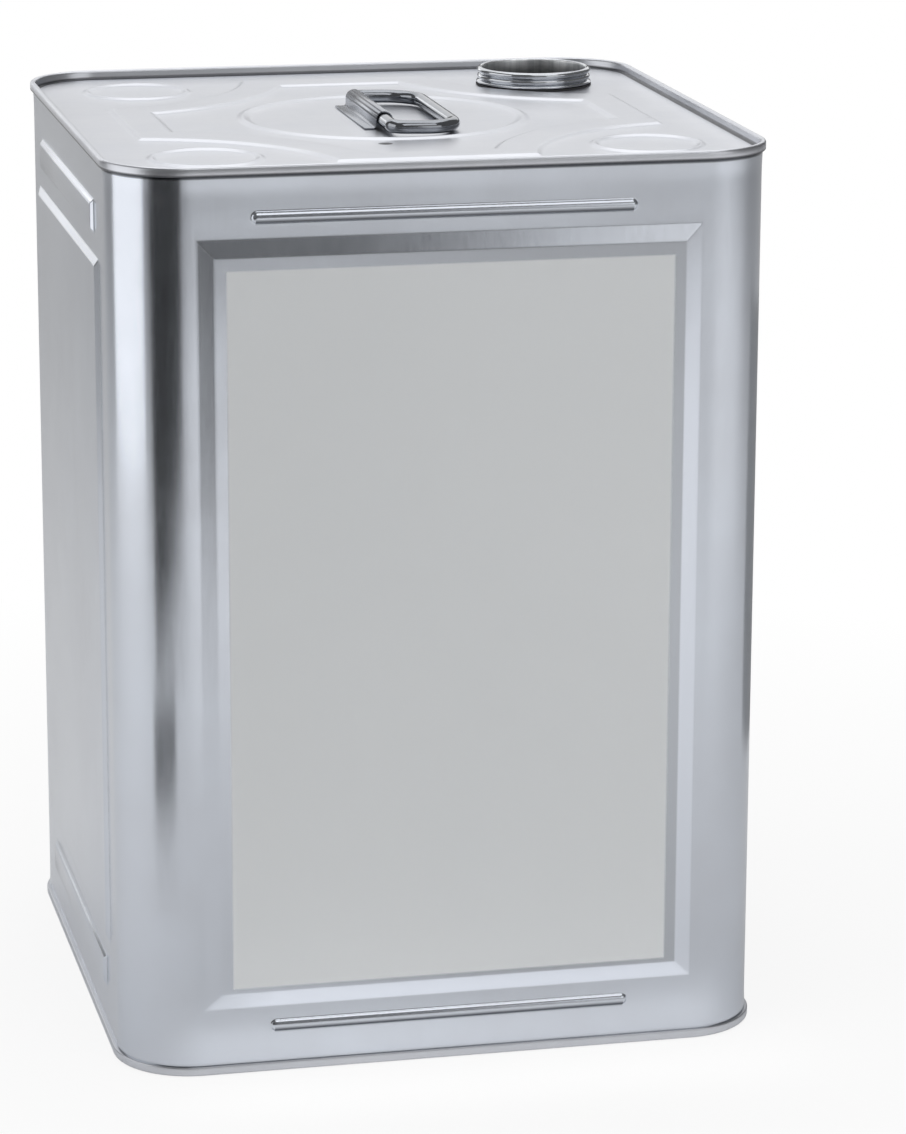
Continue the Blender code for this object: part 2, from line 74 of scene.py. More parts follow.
CORNER_SEGMENTS = 24
SPOUT_STEPS = 120
PRESS_SEGMENTS = 4
FLARE_STEPS = 5
BEAD_CUTS = 27
SHARP_EDGE = math.radians(8)
SMOOTH_ANGLE = math.radians(35)


def length(name, default, description):
    """A size in metres."""
    return FloatProperty(name=name, default=default, description=description, unit="LENGTH", precision=5)


def angle(name, default, description):
    """A turn, given in degrees."""
    return FloatProperty(name=name, default=math.radians(default), description=description, subtype="ANGLE")


def colour(name, default, description):
    """A colour."""
    return FloatVectorProperty(
        name=name, default=default, description=description, subtype="COLOR", size=3, min=0, max=1
    )


def share(name, default, description):
    """A number from 0 to 1."""
    return FloatProperty(name=name, default=default, description=description, min=0, max=1)


class CanSizes(bpy.types.PropertyGroup):
    """Sizes of the pressed sheet, the seams, the spout and the handle."""

    corner: length("Corner", 0.0285, "Radius of the can's corners over the seams")
    sheet: length("Sheet", 0.00032, "Thickness of the tinplate")
    seam_height: length("Seam height", 0.0034, "Height of the double seam")
    seam_proud: length("Seam proud", 0.00132, "How far the seam stands out from the body")
    seam_width: length("Seam width", 0.00208, "Width of the double seam")
    countersink: length("Countersink", 0.0035, "Depth of the plates below their seams")
    panel_edge: length("Panel edge", 0.0295, "From the can's side to the label panel")
    panel_top: length("Panel top", 0.0256, "From the top rim to the label panel")
    panel_foot: length("Panel foot", 0.0245, "From the floor to the label panel")
    panel_bevel: length("Panel bevel", 0.0059, "Width of the label panel's bevel")
    panel_rise: length("Panel rise", 0.0012, "Height of the label panel")
    bead_width: length("Bead width", 0.0045, "Width of the straight beads")
    bead_height: length("Bead height", 0.0012, "Height of the straight beads")
    bead_half: length("Bead half length", 0.066, "Half the length of the straight beads")
    bead_extra: length("Bead extra", 0.0046, "How much further left the upper beads reach")
    bead_top: length("Upper bead", 0.0182, "From the top rim to the upper bead")
    bead_foot: length("Lower bead", 0.017, "From the floor to the lower bead")
    label_edge: length("Label edge", 0.0395, "From the can's side to the bare label place")
    label_top: length("Label top", 0.0363, "From the top rim to the bare label place")
    label_foot: length("Label foot", 0.0322, "From the floor to the bare label place")
    side_edge: length("Side panel edge", 0.0407, "From the can's side to the tall raised panel")
    side_end: length("Side panel end", 0.0378, "From the can's end to the tall raised panel")
    side_bevel: length("Side panel bevel", 0.003, "Width of the tall raised panel's bevel")
    side_rise: length("Side panel rise", 0.0013, "Height of the raised panels")
    low_edge: length("Low panel edge", 0.0505, "From the can's side to the low raised panels")
    low_end: length("Low panel end", 0.0184, "From the can's end to the low raised panels")
    low_height: length("Low panel height", 0.0121, "Height of the low raised panels")
    low_bevel: length("Low panel bevel", 0.0015, "Width of the low raised panels' bevel")
    lap_place: length("Lap place", 0.0844, "From the right face's middle to the welded lap")
    lap_width: length("Lap width", 0.0016, "Width of the welded lap")
    lap_rise: length("Lap rise", 0.0002, "Height of the welded lap")
    lap_bevel: length("Lap bevel", 0.0003, "Width of the welded lap's bevel")
    lap_end: length("Lap end", 0.0054, "From the can's end to the welded lap")
    press_bend: length("Press bend", 0.0006, "Rounding of the pressed edges")
    flare: length("Flare", 0.00025, "How far the body spreads out towards its seams")
    flare_height: length("Flare height", 0.008, "Height of the body's spread ends")
    emboss: length("Emboss", 0.0009, "Height of the plates' embossing")
    frame_half: length("Frame half", 0.0975, "Half the width of the top's raised frame")
    frame_width: length("Frame width", 0.0163, "Width of the raised frame along its sides")
    frame_slope: length("Frame slope", 0.0022, "Width of the raised frame's slopes")
    arc_centre: length("Arc centre", 0.1095, "Place of the centres of the frame's hollow corners")
    outer_arc: length("Outer arc", 0.07345, "Radius of the frame's outer hollow corners")
    inner_arc: length("Inner arc", 0.09145, "Radius of the frame's inner hollow corners")
    ring_bead: length("Ring bead", 0.05165, "Radius of the plates' round bead")
    ring_bead_width: length("Ring bead width", 0.0055, "Width of the plates' round bead")
    boss: length("Boss", 0.01904, "Radius of the three round corner beads")
    boss_width: length("Boss width", 0.004, "Width of the three round corner beads")
    boss_place: length("Boss place", 0.07964, "Place of the round corner beads from the can's axis")
    vent_x: length("Vent mark", -0.0116, "Sideways place of the small vent mark")
    vent_y: length("Vent mark distance", -0.0599, "Place of the vent mark from the can's axis")
    vent: length("Vent radius", 0.0024, "Radius of the vent mark")
    vent_depth: length("Vent depth", 0.0004, "Depth of the vent mark")
    bore: length("Bore", 0.02, "Radius of the spout's bore")
    lip: length("Lip", 0.022, "Radius of the spout's lip")
    spout_height: length("Spout height", 0.007, "Height of the spout above the plate")
    wire: length("Wire", 0.0025, "Radius of the handle's wire")
    ring_width: length("Ring width", 0.07628, "Width of the handle ring between its wires' centres")
    ring_reach: length("Ring reach", 0.0243, "From the hinge to the handle's far bar")
    ring_slip: length("Ring slip", -0.0068, "How far the ring has slid in its clip")
    rear_bend: length("Rear bend", 0.0045, "Bend of the ring beside the clip")
    front_bend: length("Front bend", 0.0125, "Bend of the ring at its far bar")
    ring_fall: angle("Ring fall", 1.41, "How far the lying ring hangs down")
    clip_length: length("Clip length", 0.05568, "Length of the handle's clip")
    clip_foot: length("Clip foot", 0.004, "Width of the clip's welded foot")
    clip_sheet: length("Clip sheet", 0.0005, "Thickness of the clip's sheet")
    clip_roll: angle("Clip roll", 242, "How far the clip is rolled round the wire")


class CanFinishes(bpy.types.PropertyGroup):
    """Colours and roughness of the can's metals and of its stage."""

    body_tin: colour("Body tin", (0.715, 0.755, 0.825), "Colour of the body's bare tinplate")
    tin: colour("Tin", (0.73, 0.745, 0.785), "Colour of the plates' bare tinplate")
    tin_dull: colour("Dull tin", (0.63, 0.65, 0.7), "Colour of the duller patches of tinplate")
    # Painted highlight: this paler colour lightens the lower and right bevels of the label panels.
    bevel: colour("Bevel", (0.82, 0.86, 0.94), "Colour of the label panels' highlit bevels")
    label: colour("Label place", (0.975, 0.99, 1.0), "Colour of the bare label place")
    # Painted shade: this darker colour darkens the label panel towards its right.
    margin: colour("Margin", (0.56, 0.585, 0.63), "Colour of the margin round the label place")
    # Painted shade: this dark colour is painted into the tin beside the seams, along the chuck wall's foot,
    # under the beads and in the vent mark.
    painted_shade: colour("Crease", (0.02, 0.022, 0.028), "Colour of the dark creases beside seams and beads")
    clip: colour("Clip", (0.42, 0.44, 0.48), "Colour of the handle's clip")
    # Painted shade: this dark colour darkens the clip's grooves.
    groove_and_shade: colour("Groove", (0.05, 0.055, 0.07), "Colour of the clip's fine grooves")
    wire: colour("Wire", (0.27, 0.285, 0.31), "Colour of the handle's wire")
    spout: colour("Spout", (0.62, 0.64, 0.67), "Colour of the spout")
    # Painted light: this pale colour lightens the inside of the spout; the bore's extra roughness is its
    # own.
    bore: colour("Bore", (0.93, 0.945, 0.96), "Colour of the wall of the spout's bore")
    streak: colour("Streak", (0.4, 0.42, 0.45), "Colour of the streaks in the spout's bore")
    rubber: colour("Rubber", (0.03, 0.03, 0.032), "Colour of the spout's gasket")
    bloom: colour("Bloom", (0.08, 0.08, 0.085), "Colour of the faint bloom on the gasket")
    compound: colour("Compound", (0.33, 0.31, 0.28), "Colour of the seams' sealing compound")
    compound_dark: colour("Dark compound", (0.24, 0.22, 0.2), "Colour of the compound's dark places")
    floor: colour("Floor", (0.9, 0.9, 0.9), "Colour of the floor")
    body_rough: share("Body roughness", 0.15, "Roughness of the body's tinplate")
    label_rough: share("Label roughness", 0.55, "What the label place adds to the body's roughness")
    plate_rough: share("Plate roughness", 0.3, "Roughness of the plates' tinplate")
    wire_rough: share("Wire roughness", 0.1, "Roughness of the wire and the spout")


def sizes():
    """The can's sizes."""
    return bpy.context.scene.can_sizes


def finishes():
    """The can's colours and roughness."""
    return bpy.context.scene.can_finishes


def math_node(operation, swapped=False):
    """A method of Shade that adds a Math node, with its values swapped for a reflected operator."""

    def method(self, other=0.0):
        values = (other, self) if swapped else (self, other)
        return self.finish.math(operation, *values)

    return method


class Shade:
    """A node's output, on which arithmetic adds Math nodes."""

    def __init__(self, finish, socket):
        self.finish = finish
        self.socket = socket

    __add__ = math_node("ADD")
    __radd__ = math_node("ADD", swapped=True)
    __sub__ = math_node("SUBTRACT")
    __rsub__ = math_node("SUBTRACT", swapped=True)
    __mul__ = math_node("MULTIPLY")
    __rmul__ = math_node("MULTIPLY", swapped=True)
    __truediv__ = math_node("DIVIDE")
    __pow__ = math_node("POWER")
    __gt__ = math_node("GREATER_THAN")
    __lt__ = math_node("LESS_THAN")
    __abs__ = math_node("ABSOLUTE")


class Finish:
    """A material, with the nodes that drive its Principled shader."""

    def __init__(self, name, metallic=1.0):
        self.material = bpy.data.materials.new(name)
        self.material.use_nodes = True
        self.tree = self.material.node_tree
        self.shader = self.tree.nodes["Principled BSDF"]
        self.shader.inputs["Metallic"].default_value = metallic

    def node(self, kind, output, settings=None, inputs=None):
        """A node's output. Settings are set before the inputs, a ramp's stops among them."""
        made = self.tree.nodes.new(kind)
        for name, value in (settings or {}).items():
            if name == "stops":
                self.set_stops(made.color_ramp, value)
            else:
                setattr(made, name, value)
        for name, value in (inputs or {}).items():
            self.feed(self.find(made.inputs, name), value)
        return Shade(self, self.find(made.outputs, output))

    def find(self, sockets, name):
        """A socket by its number, its identifier or its name."""
        if isinstance(name, int):
            return sockets[name]
        for socket in sockets:
            if name in (socket.identifier, socket.name) and socket.enabled:
                return socket
        raise KeyError(name)

    def set_stops(self, ramp, stops):
        """Grey stops of a ramp, as (position, level)."""
        while len(ramp.elements) < len(stops):
            ramp.elements.new(0.5)
        for element, (position, level) in zip(ramp.elements, stops):
            element.position = position
            element.color = (level, level, level, 1)

    def feed(self, socket, value):
        """Link a Shade, or set a plain value."""
        if isinstance(value, Shade):
            self.tree.links.new(value.socket, socket)
        else:
            socket.default_value = value

    def set(self, **inputs):
        """Inputs of the Principled shader, with _ for a space."""
        for name, value in inputs.items():
            self.feed(self.shader.inputs[name.replace("_", " ")], value)

    def math(self, operation, first, second=0.0):
        """A Math node of two values."""
        return self.node("ShaderNodeMath", "Value", {"operation": operation}, {0: first, 1: second})

    def place(self, scale=(1, 1, 1)):
        """Object coordinates, stretched."""
        coordinates = self.node("ShaderNodeTexCoord", "Object")
        return self.node("ShaderNodeMapping", "Vector", None, {"Vector": coordinates, "Scale": scale})
    def axis(self, name):
        """One of the object coordinates: X, Y or Z."""
        return self.node("ShaderNodeSeparateXYZ", name, None, {0: self.place()})

    def noise(self, scale, detail=2.0, stretch=(1, 1, 1), roughness=0.5):
        """Noise of so many cells in a metre."""
        inputs = {"Vector": self.place(stretch), "Scale": scale, "Detail": detail, "Roughness": roughness}
        return self.node("ShaderNodeTexNoise", "Fac", None, inputs)

    def ramp(self, value, *stops):
        """The value through a ramp of grey stops."""
        return self.node("ShaderNodeValToRGB", "Color", {"stops": stops}, {"Fac": value})
    def clamp(self, value):
        """The value, held between 0 and 1."""
        return self.ramp(value, (0.0, 0.0), (1.0, 1.0))

    def mix(self, factor, first, second):
        """Two colours mixed."""
        inputs = {"Factor_Float": factor, "A_Color": opaque(first), "B_Color": opaque(second)}
        return self.node("ShaderNodeMix", "Result_Color", {"data_type": "RGBA"}, inputs)

    def bump(self, height, distance, under=None):
        """Normals from a height, over those of another bump."""
        inputs = {"Height": height, "Distance": distance, "Strength": 1.0}
        if under:
            inputs["Normal"] = under
        return self.node("ShaderNodeBump", "Normal", None, inputs)


def opaque(value):
    """A colour with its alpha, or a Shade as it is."""
    return value if isinstance(value, Shade) else (*value, 1)


def near(value, middle, reach):
    """1 where a value is at its middle, fading to 0 at this distance from it."""
    return value.finish.math("MAXIMUM", 1.0 - abs(value - middle) / reach, 0.0)


def from_upright(finish, place):
    """Distance from the upright line through a place, given as (x, y)."""
    across, along = finish.axis("X") - place[0], finish.axis("Y") - place[1]
    return (across ** 2.0 + along ** 2.0) ** 0.5


def crevice(finish):
    """1 in the narrow shade beside the seams and along the foot of the chuck wall, and 0 elsewhere.
    The shade over the bottom seam is faint."""
    size = sizes()
    reach, plate_reach, faint = 0.0011, 0.0012, 0.12
    skin, seam_gap, wall_gap = 0.0006, 0.0001, 0.0007
    level = finish.axis("Z")
    height = abs(level - MIDDLE)
    straight = WIDTH / 2 - size.corner
    beyond = [finish.math("MAXIMUM", abs(finish.axis(name)) - straight, 0.0) for name in "XY"]
    outwards = (beyond[0] ** 2.0 + beyond[1] ** 2.0) ** 0.5
    on_wall = outwards > size.corner - size.seam_proud - skin
    upper = (level > MIDDLE) * (1 - faint) + faint
    under_seam = near(height, MIDDLE - size.seam_height - seam_gap, reach) * on_wall * upper
    at_wall = near(outwards, size.corner - size.seam_width - wall_gap, reach)
    at_plate = near(height, MIDDLE - size.countersink, plate_reach)
    return finish.math("MAXIMUM", under_seam, finish.math("MINIMUM", at_wall, at_plate))


def on_panel(finish, edge, top, foot):
    """1 on the front and the back within these distances from the can's ends, with an edge less than
    a millimetre wide, and 0 elsewhere."""
    sharpness = 1500
    level = finish.axis("Z")
    sides = finish.math("MINIMUM", WIDTH / 2 - edge - abs(finish.axis("X")), level - foot)
    inside = finish.math("MINIMUM", sides, HEIGHT - top - level)
    on_face = abs(finish.axis("Y")) > WIDTH / 2 - sizes().seam_proud
    return finish.clamp(inside * sharpness + 0.5) * on_face


def under_bead_shade(finish):
    """1 under the straight beads of the front and the back, where shade is painted dark, and 0 elsewhere.
    """
    size = sizes()
    reach, drop = 0.0014, size.bead_width * 0.32
    half = size.bead_half - size.bead_width / 3
    depth = finish.axis("Y")
    along = finish.axis("X") * (finish.math("SIGN", depth) * -1.0)
    level = finish.axis("Z")
    lines = []
    for bead, extra in ((size.bead_foot, 0.0), (HEIGHT - size.bead_top, size.bead_extra)):
        lines.append(near(level, bead - drop, reach) * (along > -half - extra))
    on_face = abs(depth) > WIDTH / 2 - size.seam_proud - size.sheet
    return finish.math("MAXIMUM", *lines) * on_face * (along < half)


def vent_shade(finish):
    """1 in the small vent mark of the top plate, where shade is painted dark, and 0 elsewhere."""
    size = sizes()
    beyond = from_upright(finish, (size.vent_x, size.vent_y)) / size.vent * 0.8
    return finish.ramp(beyond, (0.75, 1.0), (0.95, 0.0)) * (finish.axis("Z") > MIDDLE)


def inside_spout(finish):
    """1 on the wall of the spout's bore, 0 outside it."""
    beyond = (from_upright(finish, SPOUT) - sizes().bore) * 1000
    return finish.ramp(beyond, (0.15, 1.0), (0.5, 0.0))


def label_panel(finish, surface):
    """The surface with the label panel's colours over it, and where the bare label place is. Painted shade
    darkens the panel round the label place towards the right, and a painted highlight lightens the lower
    and right bevels."""
    look, size = finishes(), sizes()
    ends = [end + size.panel_bevel for end in (size.panel_edge, size.panel_top, size.panel_foot)]
    top = on_panel(finish, *ends)
    outline = on_panel(finish, size.panel_edge, size.panel_top, size.panel_foot)
    label = on_panel(finish, size.label_edge, size.label_top, size.label_foot)
    across, level = finish.axis("X"), finish.axis("Z")
    # One fades in from the left third to just right of the middle, the other over the diagonal.
    right_shade = finish.clamp(across * 9 + 0.7)
    lower_right_highlight = finish.clamp(across * 44 - (level - MIDDLE) * 28)
    # Painted shade: darker towards the right of the panel.
    surface = finish.mix(top * right_shade, surface, look.margin)
    # Painted highlight: the lower and right bevels are painted lighter.
    surface = finish.mix((outline - top) * lower_right_highlight, surface, look.bevel)
    return finish.mix(label, surface, look.label), label


def tinplate(name, grain, rough, body=False):
    """Bare tinned sheet: rolling grain, slight waves from pressing, dull patches and fine marks. The
    body's label places are satin, and its label panel has painted shade and a painted highlight. Painted
    shade darkens the tin beside the seams, under the body's beads and in the top plate's vent mark."""
    look = finishes()
    wave_height, ripple_height, grain_height = 0.00054, 0.00003, 0.000006
    finish = Finish(name)
    patches = finish.noise(9, 3)
    cloud = finish.noise(46, 4, roughness=0.6)
    lines = finish.noise(900, 2, grain)
    specks = finish.noise(2600, 1)
    dull = finish.ramp(patches * 0.6 + cloud * 0.4, (0.38, 0.0), (0.68, 1.0))
    tin = look.body_tin if body else look.tin
    surface = finish.mix(dull * 0.5 + specks * 0.16, tin, look.tin_dull)
    roughness = rough + dull * 0.05 + lines * 0.08 + specks * 0.05 - 0.05
    if body:
        surface, label = label_panel(finish, surface)
        roughness = roughness + label * look.label_rough
        # Painted shade under the straight beads.
        mark = under_bead_shade(finish) * 0.85
    else:
        # Painted shade in the vent mark.
        mark = vent_shade(finish) * 0.92
    # Painted shade: the narrow shade beside the seams and the chuck wall's foot, and the shade above, are
    # painted dark into the base colour.
    shade = finish.ramp(crevice(finish), (0.0, 0.0), (0.45, 0.75), (1.0, 0.96))
    shade = finish.math("MAXIMUM", shade, mark)
    waves = finish.bump(finish.noise(13, 1), wave_height)
    ripples = finish.bump(cloud, ripple_height, waves)
    finish.set(
        Base_Color=finish.mix(shade, surface, look.painted_shade),
        Roughness=roughness,
        Normal=finish.bump(lines * 0.6 + specks * 0.4, grain_height, ripples),
    )
    return finish.material


def bright_steel(name, marks, tone, where_rough=None):
    """Bright drawn or turned steel: a clean gloss with fine marks along the way it was worked. Where
    it is rough, as in the spout's bore, it has streaks drawn upright, and its paler colour there is painted
    light."""
    look = finishes()
    finish = Finish(name)
    cloud = finish.noise(160, 3)
    lines = finish.noise(1500, 2, marks)
    surface = finish.mix(cloud * 0.35, tone, look.tin_dull)
    roughness = look.wire_rough + lines * 0.07 + cloud * 0.04 - 0.04
    if where_rough:
        rough = where_rough(finish)
        streaks = finish.ramp(finish.noise(420, 2, (1, 1, 0.02)), (0.42, 0.0), (0.62, 1.0))
        # Painted light: the bore is painted paler; its streaks and extra roughness are its own.
        surface = finish.mix(rough, surface, finish.mix(streaks * 0.4, look.bore, look.streak))
        roughness = roughness + rough * 0.3
    finish.set(
        Base_Color=surface,
        Roughness=roughness,
        Normal=finish.bump(lines, 0.000008, finish.bump(cloud, 0.00003)),
    )
    return finish.material


def clip_steel():
    """Rolled clip: bright sheet with drawn grooves along its roll, and none on its flat foot. The
    grooves' dark colour is painted shade.
    """
    look = finishes()
    grooves_in_turn = 13.0
    finish = Finish("clip steel")
    reach = finish.axis("X") - HINGE.x
    turn = finish.math("ARCTAN2", finish.axis("Z") - HINGE.z, reach)
    wave = finish.math("COSINE", turn * grooves_in_turn) * 0.5 + 0.5
    rolled = finish.ramp(turn / math.pi, (0.5, 0.0), (0.56, 1.0))
    off_foot = finish.ramp(reach * -100, (0.33, 1.0), (0.4, 0.0))
    groove_and_shade = finish.ramp(wave, (0.45, 0.0), (0.85, 1.0)) * rolled * off_foot
    lines = finish.noise(1500, 2, (1, 0.1, 1))
    finish.set(
        # Painted shade: the grooves are darkened in the base colour; their bump and roughness are real.
        Base_Color=finish.mix(groove_and_shade * 0.8, look.clip, look.groove_and_shade),
        Roughness=0.2 + lines * 0.08 + groove_and_shade * 0.1,
        Normal=finish.bump(groove_and_shade * -1.0, 0.00012, finish.bump(lines, 0.000008)),
    )
    return finish.material


def dull_filler(name, tone, second_tone, cells, mixed, roughness, spread, relief):
    """Rubber or sealing compound: dull and slightly uneven, with a second colour mixed in."""
    finish = Finish(name, 0.0)
    uneven = finish.noise(cells, 3)
    finish.set(
        Base_Color=finish.mix(uneven * mixed, tone, second_tone),
        Roughness=roughness + uneven * spread,
        Normal=finish.bump(uneven, relief),
    )
    return finish.material


def object_mode():
    """Leave edit mode and deselect everything."""
    if bpy.context.object and bpy.context.object.mode != "OBJECT":
        bpy.ops.object.mode_set(mode="OBJECT")
    bpy.ops.object.select_all(action="DESELECT")


def select_only(piece):
    """Leave edit mode, and select one piece alone."""
    object_mode()
    piece.select_set(True)
    bpy.context.view_layer.objects.active = piece


def begin(name, add, stretch=(1, 1, 1), **settings):
    """Add a primitive, stretch it, apply its place and name it, and open it in edit mode."""
    object_mode()
    add(**settings)
    piece = bpy.context.object
    piece.name = name
    piece.data.name = name
    piece.scale = stretch
    bpy.ops.object.transform_apply(location=True, rotation=True, scale=True)
    bpy.ops.object.mode_set(mode="EDIT")
    bpy.ops.mesh.select_mode(type="VERT")
    return piece


def pick(piece, kind, test):
    """Select only the faces, edges or vertices of an open piece that pass a test."""
    bpy.ops.mesh.select_all(action="DESELECT")
    bpy.ops.mesh.select_mode(type=kind)
    mesh = bmesh.from_edit_mesh(piece.data)
    mesh.normal_update()
    items = {"FACE": mesh.faces, "EDGE": mesh.edges, "VERT": mesh.verts}[kind]
    for item in items:
        item.select_set(test(item))
    mesh.select_flush_mode()
    bmesh.update_edit_mesh(piece.data)


def cut(piece, test, place, normal):
    """Cut the picked faces along a plane."""
    pick(piece, "FACE", test)
    bpy.ops.mesh.bisect(plane_co=place, plane_no=normal)


def apply_modifier(piece, kind, **settings):
    """Add a modifier to a piece and apply it."""
    select_only(piece)
    modifier = piece.modifiers.new(kind.title(), kind)
    for name, value in settings.items():
        setattr(modifier, name, value)
    bpy.ops.object.modifier_apply(modifier=modifier.name)


def settle(piece, place, tilt):
    """Tilt and move a modelled piece to its place, in its mesh."""
    select_only(piece)
    piece.rotation_euler = tilt
    piece.location = place
    bpy.ops.object.transform_apply(location=True, rotation=True, scale=True)


def press(piece, depth, shape):
    """Press a piece out along its normals, by depth times the share that shape gives for a place."""
    object_mode()
    die = piece.vertex_groups.new(name="die")
    for point in piece.data.vertices:
        reached = shape(point.co)
        if reached > 0:
            die.add([point.index], min(reached, 1.0), "REPLACE")
    apply_modifier(
        piece, "DISPLACE", strength=depth, mid_level=0, direction="NORMAL", vertex_group=die.name
    )
    piece.vertex_groups.remove(piece.vertex_groups["die"])


def slope(value, bend=0.25):
    """0 to 1 along a straight slope with a short bend at each end."""
    value = min(max(value, 0.0), 1.0)
    steep = 1 / (1 - bend)
    if value > 0.5:
        return 1 - slope(1 - value, bend)
    return steep * value * value / (2 * bend) if value < bend else steep * (value - bend / 2)


def hump(distance, width):
    """Bead: 1 on its crest and 0 at its feet."""
    return slope(1 - abs(distance) / (width / 2), 0.2)


def finish_piece(piece, body, node, material):
    """Shade a piece, give it its material, and let it stand for its node on its body."""
    select_only(piece)
    bpy.ops.object.shade_smooth_by_angle(angle=SMOOTH_ANGLE)
    bpy.ops.object.select_all(action="DESELECT")
    piece.data.materials.clear()
    piece.data.materials.append(material)
    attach(piece, body)
    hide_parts(node)


def is_upright(edge):
    """True for an edge along Z."""
    first, second = edge.verts
    return (first.co - second.co).xy.length < 1e-6


def round_block(name, width, low, high, radius):
    """Square block with round upright corners, left in edit mode."""
    stretch, middle = (1, 1, (high - low) / width), (0, 0, (low + high) / 2)
    piece = begin(name, bpy.ops.mesh.primitive_cube_add, stretch, size=width, location=middle)
    pick(piece, "EDGE", is_upright)
    bpy.ops.mesh.bevel(
        offset=radius, offset_type="OFFSET", segments=CORNER_SEGMENTS, profile=0.5, affect="EDGES"
    )
    return piece


class Wall:
    """One flat wall of the body, with places on it as (along, height)."""

    def __init__(self, piece, quarter):
        self.piece = piece
        turn = Matrix.Rotation(quarter * math.pi / 2, 3, "Z")
        self.out = turn @ Vector((0, -1, 0))
        self.along = turn @ Vector((1, 0, 0))

    def within(self, left, right, low, high):
        """A test for this wall's faces within these limits."""

        def test(face):
            centre = face.calc_center_median()
            inside = left < self.along.dot(centre) < right and low < centre.z < high
            return inside and face.normal.dot(self.out) > FLAT

        return test

    def frame_off(self, left, right, low, high):
        """Cut a rectangle out of the wall: its ends along the whole strip, then its sides."""
        for height in (low, high):
            cut(self.piece, self.within(-1, 1, 0, 1), (0, 0, height), (0, 0, 1))
        for side in (left, right):
            cut(self.piece, self.within(-1, 1, low, high), self.along * side, self.along)

    def panel(self, left, right, low, high, bevel, rise):
        """Panel with mitred bevels."""
        self.frame_off(left, right, low, high)
        pick(self.piece, "FACE", self.within(left, right, low, high))
        bpy.ops.mesh.inset(thickness=bevel, depth=rise, use_even_offset=True)

    def bead_ground(self, left, right, height, width):
        """Fine mesh for a straight bead: long cells in the middle and square ones at its ends."""
        low, high = height - width / 2, height + width / 2
        self.frame_off(left, right, low, high)
        inside = self.within(left, right, low, high)
        for start in (left + width, right - width):
            cut(self.piece, inside, self.along * start, self.along)
        pick(self.piece, "FACE", inside)
        bpy.ops.mesh.subdivide(number_cuts=BEAD_CUTS)


def straight_bead(left, right, height, width, rise):
    """Share of a straight bead with round ends and a round back, from the place on its wall."""
    radius = (width * width / 4 + rise * rise) / (2 * rise)

    def shape(along, level):
        beyond = max(left + width / 2 - along, along - right + width / 2, 0.0)
        distance = min(math.hypot(beyond, level - height), width / 2)
        return (math.sqrt(radius * radius - distance * distance) - radius) / rise + 1

    return shape


def press_panels(piece):
    """The label panels of the front and the back, and three raised panels on each side."""
    size = sizes()
    side, panel_end = WIDTH / 2 - size.panel_edge, HEIGHT - size.panel_top
    tall, tall_end = WIDTH / 2 - size.side_edge, HEIGHT - size.side_end
    low, low_top = WIDTH / 2 - size.low_edge, size.low_end + size.low_height
    for quarter in (0, 2):
        wall = Wall(piece, quarter)
        wall.panel(-side, side, size.panel_foot, panel_end, size.panel_bevel, size.panel_rise)
    for quarter in (1, 3):
        wall = Wall(piece, quarter)
        wall.panel(-tall, tall, size.side_end, tall_end, size.side_bevel, size.side_rise)
        for start, end in ((size.low_end, low_top), (HEIGHT - low_top, HEIGHT - size.low_end)):
            wall.panel(-low, low, start, end, size.low_bevel, size.side_rise)


def model_body():
    """The body: a bent square tube with its panels, beads and welded lap pressed in, and its ends
    spread towards the seams."""
    size = sizes()
    half = WIDTH / 2 - size.seam_proud
    end = size.seam_height / 2
    piece = round_block("can_body", 2 * half, end, HEIGHT - end, size.corner - size.seam_proud)
    pick(piece, "FACE", lambda face: abs(face.normal.z) > FACING)
    bpy.ops.mesh.delete(type="FACE")
    press_panels(piece)
    bpy.ops.mesh.select_all(action="DESELECT")
    bpy.ops.mesh.select_mode(type="EDGE")
    bpy.ops.mesh.edges_select_sharp(sharpness=SHARP_EDGE)
    bpy.ops.mesh.bevel(offset=size.press_bend, segments=PRESS_SEGMENTS, affect="EDGES")
    lap = (size.lap_place - size.lap_width / 2, size.lap_place + size.lap_width / 2)
    Wall(piece, 1).panel(*lap, size.lap_end, HEIGHT - size.lap_end, size.lap_bevel, size.lap_rise)
    start = size.seam_height + size.flare_height
    for step in range(FLARE_STEPS):
        height = start - size.flare_height * step / FLARE_STEPS
        for level in (height, HEIGHT - height):
            cut(piece, lambda face: True, (0, 0, level), (0, 0, 1))
    beads = (
        (-size.bead_half, size.bead_foot),
        (-size.bead_half - size.bead_extra, HEIGHT - size.bead_top),
    )
    margin = 0.0012
    bead_size = (size.bead_width, size.bead_height)
    bead_shapes = [straight_bead(left, size.bead_half, height, *bead_size) for left, height in beads]
    for quarter in (0, 2):
        wall = Wall(piece, quarter)
        for left, height in beads:
            ends = (left - margin, size.bead_half + margin)
            wall.bead_ground(*ends, height, size.bead_width + 2 * margin)

    def spread(place):
        return (max(abs(place.z - MIDDLE) + start - MIDDLE, 0.0) / size.flare_height) ** 2

    def bead_share(place):
        if abs(place.y) < half - size.sheet:
            return 0.0
        along = place.x if place.y < 0 else -place.x
        return max(shape(along, place.z) for shape in bead_shapes)

    press(piece, size.bead_height, bead_share)
    press(piece, size.flare, spread)
    apply_modifier(piece, "SOLIDIFY", thickness=size.sheet, offset=-1)
    apply_modifier(piece, "WEIGHTED_NORMAL", keep_sharp=True)
    return piece


def turns(start, end, count):
    """Angles from one to another in even steps, given in degrees."""
    return [math.radians(start + (end - start) * step / count) for step in range(count + 1)]


def arc_steps(radius, count, start, end):
    """Moves (inward, out of the face) that follow an arc, from one angle to another."""
    angles = turns(start, end, count)
    return [
        (radius * (math.cos(a) - math.cos(b)), radius * (math.sin(b) - math.sin(a)))
        for a, b in zip(angles, angles[1:])
    ]


